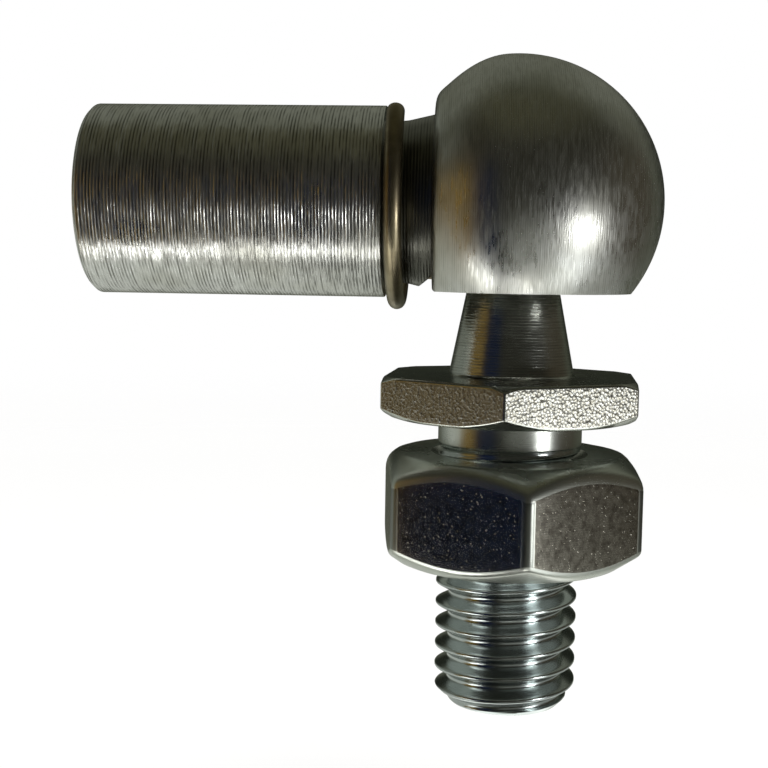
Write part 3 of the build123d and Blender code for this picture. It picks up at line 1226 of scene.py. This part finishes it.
@dataclass
class BallSocket(Piece):
    """Threaded shank, clip groove and spherical head with the ball's cavity cut up into it."""

    length: float = 29.2
    shank_diameter: float = 13.1
    end_chamfer: float = 0.35
    head_diameter: float = 20.09
    end_reach: float = 9.95
    base_drop: float = 6.04
    shoulder_reach: float = 5.55
    shoulder_diameter: float = 14.6
    shoulder_rounding: float = 0.8
    bevel_degrees: float = 41.0
    bevel_blend: float = 2.1  # how far the bevel's blend reaches to each side of where it meets the sphere
    groove_length: float = 3.35
    groove_diameter: float = 11.1
    flare_diameter: float = 12.0
    flare_start: float = 7.48  # where the groove's floor starts to widen, from the ball's centre
    bore_minor: float = 6.8
    bore_major: float = 8.0
    bore_mouth: float = 8.4
    bore_depth: float = 18.0
    bore_thread_length: float = 15.5
    bore_pitch: float = 1.25
    bore_runout: float = 1.5  # over which the thread's last groove fades out
    drill_point_degrees: float = 118.0
    mouth_degrees: float = 60.0  # slope of the mouth's countersink against the end face
    crest_flat: float = 0.25
    root_flat: float = 0.14
    cavity_diameter: float = 13.1
    mouth_chamfer: float = 0.3
    ring_drop: float = 2.9
    ring_groove_radius: float = 7.24
    ring_groove_half: float = 0.65
    leg_hole: Triple = (0.68, 5.74, -4.72)  # radius, then the hole's y and z
    leg_hole_start: float = 0.9  # from the groove's shank end, in the open groove
    leg_hole_end: float = 4.9
    past: float = 1.0  # how far a cutter reaches beyond the surface that it cuts
    sharp_degrees: float = 35.0
    finishes: tuple[ZincPlate, ...] = (
        # the heaviest cut: bright rings and dark broken lines of painted groove shade, with a highlight
        # spread along the shank
        TurnedZinc("zinc_plated_steel_turned_shank", roughness=0.3, feed_mm=0.22, groove_mm=0.026,
                   tear_mm=0.02, stroke_mm=1.3, spread=0.6, groove_shade_share=0.85, groove_shade_colour="#55554F",
                   colour="#D9DAD7", cloud_colour="#C6C6BE"),
        # a form tool's fine rings and short streaks on a satin sphere, with faint painted shade in the groove
        # bottoms
        TurnedZinc("zinc_plated_steel_form_turned_head", roughness=0.26, feed_mm=0.14, groove_mm=0.0012,
                   tear_mm=0.0038, stroke_mm=0.9, dull=0.14, groove_shade_share=0.4, colour="#C9CAC6"),
        # cut by the tap, with a plain satin look
        TurnedZinc("zinc_plated_steel_tapped_shank", feed_mm=0.1, groove_mm=0.001, tear_mm=0.0005),
        # a parting tool's floor, painted dark for the shade deep between the shank and the head
        TurnedZinc("zinc_plated_steel_turned_clip_groove", roughness=0.3, feed_mm=0.2, groove_mm=0.01,
                   tear_mm=0.012, stroke_mm=3.0, groove_shade_share=0.8, groove_shade_colour="#3A3A35", colour="#7C7C74",
                   cloud_colour="#55554E"),
    )
    # a milling cutter's even, shallow marks
    machined: TurnedZinc = TurnedZinc("zinc_plated_steel_milled_underside", feed_mm=0.35, groove_mm=0.002,
                                      tear_mm=0.001)
    # a boring tool's rings under duller plate
    bored: TurnedZinc = TurnedZinc("zinc_plated_steel_bored_cavity", roughness=0.28, turned=Turned.ABOUT_STUD,
                                   feed_mm=0.2, groove_mm=0.004, tear_mm=0.002, colour="#A8A79E")

    def build(self) -> Mesh:
        """Turn the body with its tapped bore.

        Returns:
            The mesh, before its underside, its cavity and the clip's hole are cut.
        """
        skin = Skin(Turned.ABOUT_SHANK, np.linspace(0, TURN, num=193))
        self._add_bore(skin)
        self._add_outside(skin)
        return skin.mesh(self.name)

    def cut(self, piece: Object) -> None:
        """Cut the underside, the cavity and the clip's hole.

        Args:
            piece: the dressed body.
        """
        machined, bored = self.machined.material(), self.bored.material()
        cutters = []
        meshes = self._underside(), self._cavity(), self._clip_hole()
        for mesh, finish in zip(meshes, (machined, bored, bored)):
            mesh.materials.append(finish)
            cutters.append(add_piece(mesh.name, mesh))
        carve(piece, cutters)

    def _add_bore(self, skin: Skin) -> None:
        """Add the drill point, the plain bore, the M8 thread and the countersunk mouth.

        Args:
            skin: the socket's skin.
        """
        minor, mouth, entry = self.bore_minor / 2, self.bore_mouth / 2, -self.length
        bottom, inner_end = entry + self.bore_depth, entry + self.bore_thread_length
        point = minor / math.tan(math.radians(self.drill_point_degrees / 2))
        skin.profile([(0.0, bottom + point), (minor, bottom), (minor, inner_end)], SocketFinish.TAPPED)
        thread = Thread(self.bore_pitch, minor, self.bore_major / 2, self.crest_flat, self.root_flat, 0.0)
        for along in thread.lines(skin.angles, inner_end, entry):
            fade = np.clip((inner_end - along) / self.bore_runout, 0, 1)
            cut = minor + (thread.radius(skin.angles, along) - minor) * fade
            cone = mouth - (along - entry) * math.tan(math.radians(self.mouth_degrees))
            skin.row(np.maximum(cut, cone), along, SocketFinish.TAPPED)

    def _add_outside(self, skin: Skin) -> None:
        """Add the end face, the shank, the clip groove, the shoulder and the sphere.

        Args:
            skin: the socket's skin, with its bore.
        """
        shank, head = self.shank_diameter / 2, self.head_diameter / 2
        groove, flare = self.groove_diameter / 2, self.flare_diameter / 2
        groove_left = -self.shoulder_reach - self.groove_length
        # the bevel leaves the shoulder's corner on a slope and meets the sphere
        corner = np.array([-self.shoulder_reach, self.shoulder_diameter / 2])
        slope = math.radians(self.bevel_degrees)
        heading = np.array([math.cos(slope), math.sin(slope)])
        half_way = float(corner @ heading)
        bevel = math.sqrt(half_way**2 + head**2 - float(corner @ corner)) - half_way
        meeting = corner + heading * bevel
        start = math.degrees(math.atan2(meeting[1], meeting[0]) - self.bevel_blend / head)
        sphere = arc(head, start, math.degrees(math.acos(self.end_reach / head)), steps=60)
        before_blend = meeting - heading * self.bevel_blend
        blend = tangent_blend(before_blend, heading, np.array([sphere[0][1], sphere[0][0]]), head)
        corners = [
            (self.bore_mouth / 2, -self.length, 0.0),
            (shank - self.end_chamfer, -self.length, 0.1),
            (shank, -self.length + self.end_chamfer, 0.1),
            (shank, groove_left, 0.08),
            (groove, groove_left, 0.12),
            (groove, -self.flare_start, 0.3),
            (flare, -self.shoulder_reach, 0.12),
            (corner[1], corner[0], self.shoulder_rounding),
            (before_blend[1], before_blend[0], 0.0),
        ]
        slack, rise = 0.01, 0.2  # how far past its end, and above its flare, a face still belongs to a part
        for radius, along in rounded(corners, steps=6) + blend + sphere[1:]:
            finish = SocketFinish.HEAD
            if along < groove_left + slack:
                finish = SocketFinish.SHANK
            elif along < corner[0] - slack and radius < flare + rise:
                finish = SocketFinish.GROOVE
            skin.row(radius, along, finish)
        skin.profile([(0.0, self.end_reach)], SocketFinish.HEAD)

    def _underside(self) -> Mesh:
        """Shape the block whose cut leaves the head's flat underside.

        Returns:
            The block's mesh.
        """
        side = self.head_diameter / 2 + self.past
        sliver = 0.05  # it starts this far into the clip groove, so that none of the shoulder is left
        low = Vector((-self.shoulder_reach - sliver, -side, -side)) * MM
        high = Vector((side, side, -self.base_drop)) * MM
        box = bpy.data.meshes.new("underside")
        work = bmesh.new()
        bmesh.ops.create_cube(work, size=1.0)
        for vert in work.verts:
            vert.co = Vector(low[i] + (vert.co[i] + 0.5) * (high[i] - low[i]) for i in range(3))
        work.to_mesh(box)
        work.free()
        return box

    def _cavity(self) -> Mesh:
        """Shape the ball's hemisphere, straight bore, snap ring groove and chamfered mouth.

        Returns:
            The cavity as a solid mesh.
        """
        skin = Skin(Turned.ABOUT_STUD, np.linspace(0, TURN, num=161))
        ball, ring = self.cavity_diameter / 2, self.ring_groove_radius
        upper, lower = -self.ring_drop + self.ring_groove_half, -self.ring_drop - self.ring_groove_half
        mouth, end = -self.base_drop + self.mouth_chamfer, -self.base_drop - 2 * self.past
        beyond = self.mouth_chamfer + 0.2  # the cone goes on below the underside, to cut it cleanly
        skin.profile(arc(ball, 0, 90, steps=24))
        skin.profile([(ball, upper), (ring, upper), (ring, lower), (ball, lower), (ball, mouth),
                      (ball + beyond, mouth - beyond), (ball + beyond, end), (0.0, end)])
        return skin.mesh("cavity")

    def _clip_hole(self) -> Mesh:
        """Shape the hole that the clip's leg goes into.

        Returns:
            The hole as a solid mesh.
        """
        radius, y, z = self.leg_hole
        skin = Skin(Turned.ABOUT_SHANK, np.linspace(0, TURN, num=49))
        start = -self.shoulder_reach - self.groove_length + self.leg_hole_start
        skin.profile([(0.0, start), (radius, start), (radius, self.leg_hole_end), (0.0, self.leg_hole_end)])
        mesh = skin.mesh("clip_hole")
        mesh.transform(Matrix.Translation(Vector((0.0, y, z)) * MM))
        return mesh


@dataclass
class SafetyClip(Piece):
    """Spring wire clip: an open hoop round the neck, a bend and a leg into the head."""

    wire_diameter: float = 1.2
    hoop_radius: float = 7.274
    hoop_centre: Pair = (0.5, 0.475)  # y and z of the sprung hoop's centre
    plane: float = -8.08
    tip_degrees: float = 132.0
    bend_degrees: float = 305.5
    bend_radius: float = 1.25
    leg_end: float = 4.5
    tip_rounding: float = 0.25
    sharp_degrees: float = 60.0
    # bare wire, warm against the plate
    finishes: tuple[ZincPlate, ...] = (SpringWire("spring_steel_drawn_clip_wire"),)

    def build(self) -> Mesh:
        """Sweep the wire along the hoop, round the bend and down the leg.

        Returns:
            The clip's mesh.
        """
        y0, z0 = self.hoop_centre
        hoop = np.radians(np.linspace(self.tip_degrees, self.bend_degrees, num=90))
        across, up = y0 + self.hoop_radius * np.cos(hoop), z0 + self.hoop_radius * np.sin(hoop)
        path = list(np.stack([np.full_like(hoop, self.plane), across, up], axis=1))
        last, heading = path[-1], np.array([0.0, -math.sin(hoop[-1]), math.cos(hoop[-1])])
        for a in np.radians(np.linspace(0, 90, num=13)[1:]):
            ahead, aside = self.bend_radius * math.sin(a), self.bend_radius * (1 - math.cos(a))
            path.append(last + heading * ahead + np.array([aside, 0.0, 0.0]))
        leg = path[-1]
        for share in np.linspace(0, 1, num=14)[1:]:
            path.append(leg + np.array([(self.leg_end - leg[0]) * share, 0.0, 0.0]))
        return wire(np.array(path), self.wire_diameter / 2, self.tip_rounding)


@dataclass
class SnapRing(Piece):
    """Open ring of round wire that holds the ball up in its socket."""

    wire_diameter: float = 1.2
    radius: float = 6.586
    drop: float = 2.9
    gap: float = 3.0
    tip_rounding: float = 0.1
    sharp_degrees: float = 60.0
    # oiled wire, darker than the clip's
    finishes: tuple[ZincPlate, ...] = (
        SpringWire("spring_steel_oiled_ring_wire", colour="#7A756B", cloud_colour="#57524A"),
    )

    def build(self) -> Mesh:
        """Sweep the wire round the ring, leaving its gap open.

        Returns:
            The ring's mesh.
        """
        half_gap = self.gap / 2 / self.radius
        angles = np.linspace(half_gap, TURN - half_gap, num=120)
        path = place(Turned.ABOUT_STUD, self.radius, np.full_like(angles, -self.drop), angles)
        return wire(path, self.wire_diameter / 2, self.tip_rounding)


# ------------------------------------------------------------------ the studio


def towards(azimuth: float | np.ndarray, elevation: float | np.ndarray) -> np.ndarray:
    """Unit vectors from the ball, with azimuths from the front towards +X, both in radians."""
    level = np.cos(elevation)
    return np.stack([level * np.sin(azimuth), -level * np.cos(azimuth), np.sin(elevation)], axis=-1)


def lit_card(name: str, material: str, points: np.ndarray, light: np.ndarray) -> Object:
    """Add a sheet of glowing paper that shows only in the object's reflections.

    Args:
        name: the sheet's name.
        material: name of its material.
        points: its points about the ball's centre in metres, by row, column and coordinate.
        light: the linear light that each point sends out.

    Returns:
        The sheet's object.
    """
    made, tree, shader = new_material(material)
    tree.nodes.remove(shader)
    painted = add_node(tree, "Attribute", out="Vector", attribute_name="light")
    glow = add_node(tree, "Emission", {"Color": painted, "Strength": 1.0})
    tree.links.new(glow, tree.nodes["Material Output"].inputs["Surface"])
    made.cycles.emission_sampling = "NONE"  # it lights nothing, so it needs no light samples
    mesh = clean(grid_mesh(name, points, "light", light))
    mesh.materials.append(made)
    card = add_piece(name, mesh)
    card.visible_camera = card.visible_diffuse = card.visible_shadow = False
    card.visible_transmission = card.visible_volume_scatter = False
    return card


@dataclass(frozen=True)
class Panel:
    """A soft-edged panel of the reflection tent, given by the directions that it covers."""

    colour: str
    across: Pair  # degrees round the tent's axis
    along: Pair  # degrees along it
    softness: float = 8.0  # degrees over which its edges fade
    strength: float = 1.0
    about: Turned = Turned.ABOUT_STUD

    def cover(self, direction: np.ndarray) -> np.ndarray:
        """How much the panel covers each direction.

        Args:
            direction: unit vectors from the tent's middle, with the coordinates last.

        Returns:
            Shares from 0 to 1.
        """
        x, y, z = np.moveaxis(direction, -1, 0)
        round_from, axis = (x, z) if self.about is Turned.ABOUT_STUD else (z, x)
        across, along = np.degrees(np.arctan2(round_from, -y)), np.degrees(np.arcsin(axis))
        low, high = self.across
        middle, half = (low + high) / 2, (high - low) / 2
        offset = np.abs((across - middle + 180) % 360 - 180)
        round_it = self._fade(half - offset) if half < 180 else 1.0
        return round_it * self._fade(along - self.along[0]) * self._fade(self.along[1] - along)

    def _fade(self, inside: np.ndarray) -> np.ndarray:
        """Soft step from 0 outside to 1 inside, over the panel's softness."""
        share = np.clip(inside / self.softness + 0.5, 0, 1)
        return share * share * (3 - 2 * share)


@dataclass(frozen=True)
class Tent:
    """Closed paper tent round the object, which shows only in its reflections.

    Azimuths count from the front towards +X, with the shank pointing to -X. A later panel lies
    over the earlier ones.
    """

    ground: str = "#33322C"
    radius: float = 0.25
    bottom: float = -0.048
    panels: tuple[Panel, ...] = (
        Panel("#4D4C3B", (-180, 180), (48, 91), 22),
        Panel("#5A5D51", (118, 242), (-91, 91), 28),
        Panel("#74766A", (105, 255), (20, 78), 24),
        Panel("#23261F", (140, 220), (-4, 22), 10),
        Panel("#858980", (-142, -88), (-60, 35), 12),
        Panel("#886F3C", (-86, -58), (-45, 18), 8),
        Panel("#18223A", (-56, -26), (-40, 22), 12),
        Panel("#4D483D", (70, 122), (-30, 30), 14),
        Panel("#A3A59F", (72, 150), (-85, -30), 18),
        Panel("#8E8F88", (-8, 74), (-64, -18), 20),
        Panel("#D2D3CF", (42, 64), (-36, -19), 10),
        Panel("#F2F5F5", (40, 66), (-66, -34), 8, 2.8),
        Panel("#CDD0C8", (-150, -74), (-91, 30), 14, 1.0, Turned.ABOUT_SHANK),
        Panel("#F2F3EF", (-106, -86), (-8, 14), 8, 2.2, Turned.ABOUT_SHANK),
        Panel("#FFFFFC", (-71, -59), (-48, -19), 5, 5.0, Turned.ABOUT_SHANK),
        Panel("#FFFFFC", (-69, -60), (-7, 14), 5, 6.0, Turned.ABOUT_SHANK),
    )

    def add(self) -> Object:
        """Add the tent around the ball.

        Returns:
            The tent's object.
        """
        azimuth = np.linspace(-math.pi, math.pi, num=241)
        elevation = np.linspace(-math.pi / 2, math.pi / 2, num=121)
        direction = towards(*np.meshgrid(azimuth, elevation))
        light = np.zeros(direction.shape) + np.array(linear(self.ground)[:3])
        for panel in self.panels:
            share = panel.cover(direction)[..., None]
            light = light * (1 - share) + np.array(linear(panel.colour)[:3]) * panel.strength * share
        down = np.minimum(direction[..., 2], -1e-6)  # never quite level, where the flat bottom has no reach
        reach = np.minimum(self.radius, self.bottom / down)
        return lit_card("reflection_tent", "lit_tent_paper", direction * reach[..., None], light)


@dataclass(frozen=True)
class Flag:
    """Level dark card that keeps the low front light off the stud's thread."""

    colour: str = "#3A3931"
    across: Pair = (-13.0, 13.0)  # its edges' x, y and z from the ball's centre, in millimetres
    depth: Pair = (-18.4, -6.8)
    height: float = -40.0

    def add(self) -> Object:
        """Add the card below and before the thread.

        Returns:
            The card's object.
        """
        corners = [[(x, y, self.height) for x in self.across] for y in self.depth]
        light = np.zeros((2, 2, 3)) + np.array(linear(self.colour)[:3])
        return lit_card("thread_flag", "black_flag_card", np.array(corners) * MM, light)


@dataclass(frozen=True)
class Lamp:
    """A soft square lamp that faces the ball."""

    name: str
    azimuth: float  # degrees from the front, counted towards +X
    elevation: float  # degrees above the ball's height
    distance: float  # metres from the ball
    size: float  # metres
    watts: float
    seen_in_metal: bool = True  # whether its own shape shows in reflections

    def add(self) -> Object:
        """Add the lamp.

        Returns:
            The lamp's object.
        """
        data = bpy.data.lights.new(self.name, "AREA")
        data.shape, data.size, data.size_y, data.energy = "RECTANGLE", self.size, self.size, self.watts
        lamp = bpy.data.objects.new(self.name, data)
        away = Vector(towards(math.radians(self.azimuth), math.radians(self.elevation)))
        lamp.location = ball_centre() + away * self.distance
        lamp.rotation_euler = away.to_track_quat("Z", "Y").to_euler()
        lamp.visible_camera, lamp.visible_glossy = False, self.seen_in_metal
        bpy.context.scene.collection.objects.link(lamp)
        return lamp


@dataclass(frozen=True)
class Camera:
    """The camera, a little above the ball's height and a little to the right of square on."""

    sensor_mm: float = 36.0
    lens_mm: float = 59.55
    clip: Pair = (0.002, 10.0)  # metres between which it sees
    place_mm: Triple = (-2.994, -88.653, -4.442)  # from the ball's centre
    right: Triple = (0.9975882, 0.06758245, 0.01582375)  # its own three axes
    up: Triple = (-0.02194029, 0.09074457, 0.99563249)
    back: Triple = (0.06585136, -0.9935784, 0.09200849)

    def add(self) -> None:
        """Add the camera and make it the scene's."""
        data = bpy.data.cameras.new("camera")
        data.sensor_width, data.lens = self.sensor_mm, self.lens_mm
        data.clip_start, data.clip_end = self.clip
        camera = bpy.data.objects.new("camera", data)
        turn = Matrix((self.right, self.up, self.back)).transposed().to_4x4()
        camera.matrix_world = Matrix.Translation(ball_centre() + Vector(self.place_mm) * MM) @ turn
        bpy.context.scene.collection.objects.link(camera)
        bpy.context.scene.camera = camera


def seen(tree: NodeTree) -> NodeSocket:
    """Tell what is looked at from what only sends light.

    Args:
        tree: the node tree.

    Returns:
        1 where the camera, a reflection or a look through glass meets the surface, else 0.
    """
    share = add_node(tree, "LightPath", out="Is Camera Ray")
    rays = share.node.outputs
    for ray in ("Is Glossy Ray", "Is Transmission Ray"):
        share = add_node(tree, "Math", {0: share, 1: rays[ray]}, operation="ADD", use_clamp=True)
    return share


@dataclass(frozen=True)
class Studio:
    """Pale floor, white surroundings, reflection tent, soft lamps and the camera."""

    floor_height: float = -0.052
    floor_radius: float = 0.6
    floor_colour: str = "#F4F3F0"
    floor_roughness: float = 0.9
    floor_fade: Pair = (0.12, 0.5)  # metres from the middle over which the floor fades out
    floor_white: float = 0.72  # how much of the floor's shadow is washed out
    ambient: float = 0.7
    tent: Tent = Tent()
    flag: Flag = Flag()
    lamps: tuple[Lamp, ...] = (
        Lamp("key_softbox", 52, -19, distance=0.13, size=0.028, watts=0.045),
        Lamp("overhead_fill", 10, 75, distance=0.6, size=0.4, watts=3.0, seen_in_metal=False),
    )
    camera: Camera = Camera()

    def add_floor(self) -> None:
        """Add a round floor whose edge fades into the white surroundings."""
        mesh = bpy.data.meshes.new("studio_floor")
        work = bmesh.new()
        bmesh.ops.create_circle(work, cap_ends=True, segments=96, radius=self.floor_radius)
        work.to_mesh(mesh)
        work.free()
        floor = bpy.data.objects.new("studio_floor", mesh)
        floor.location = ball_centre() + Vector((0.0, 0.0, self.floor_height))
        bpy.context.scene.collection.objects.link(floor)
        mesh.materials.append(self._floor_paper())

    def _floor_paper(self) -> Material:
        """Matt white paper that shows as white as the surroundings and keeps part of the shadow.

        Returns:
            The material.
        """
        made, tree, paper = new_material("matt_white_paper_floor")
        paper.inputs["Base Color"].default_value = linear(self.floor_colour)
        paper.inputs["Roughness"].default_value = self.floor_roughness
        white = add_node(tree, "Emission", {"Color": (1.0, 1.0, 1.0, 1.0), "Strength": 1.0})
        share = add_node(tree, "Math", {0: seen(tree), 1: self.floor_white}, operation="MULTIPLY")
        lit = add_node(tree, "MixShader", {0: share, 1: paper.outputs[0], 2: white})
        reach = add_node(tree, "VectorMath", {0: add_node(tree, "TexCoord", out="Object")}, "Value",
                         operation="LENGTH")
        edge = {"Value": reach, "From Min": self.floor_fade[0], "From Max": self.floor_fade[1]}
        fade = add_node(tree, "MapRange", edge, interpolation_type="SMOOTHSTEP")
        from_below = add_node(tree, "NewGeometry", out="Backfacing")
        open_share = add_node(tree, "Math", {0: fade, 1: from_below}, operation="MAXIMUM")
        out = add_node(tree, "MixShader", {0: open_share, 1: lit, 2: add_node(tree, "BsdfTransparent")})
        tree.links.new(out, tree.nodes["Material Output"].inputs["Surface"])
        return made

    def add_world(self) -> None:
        """Set white surroundings that light the object at a plain level."""
        world = bpy.data.worlds.new("studio_world")
        bpy.context.scene.world = world
        world.use_nodes = True
        tree = world.node_tree
        # its strength is 1 where it is seen, and the ambient level where it only lights the object
        level = {0: seen(tree), 1: 1 - self.ambient, 2: self.ambient}
        background = tree.nodes["Background"]
        background.inputs["Color"].default_value = (1.0, 1.0, 1.0, 1.0)
        tree.links.new(add_node(tree, "Math", level, operation="MULTIPLY_ADD"), background.inputs["Strength"])

    def build(self) -> None:
        """Add everything around the object."""
        self.add_floor()
        self.add_world()
        for thing in (self.tent, self.flag, *self.lamps, self.camera):
            thing.add()
        bpy.context.scene.view_settings.view_transform = "Standard"
        log.info("studio: %d tent panels and %d lamps", len(self.tent.panels), len(self.lamps))


def main() -> None:
    """Build the pieces and the studio in order."""
    logging.basicConfig(level=logging.INFO, format="%(message)s")
    for piece in (
        BallSocket("ball_socket_turned", "ball_socket", "socket", "socket_steel"),
        SafetyClip("safety_clip_wire", "safety_clip", "socket", "spring_steel"),
        SnapRing("snap_ring_wire", "snap_ring", "retainer", "spring_steel"),
        BallStud("ball_stud_turned", "ball_stud", "stud", "stud_steel"),
        HexNut("hex_nut_formed", "hex_nut", "nut", "nut_steel"),
    ):
        piece.add()
    Studio().build()


if __name__ == "__main__":
    main()
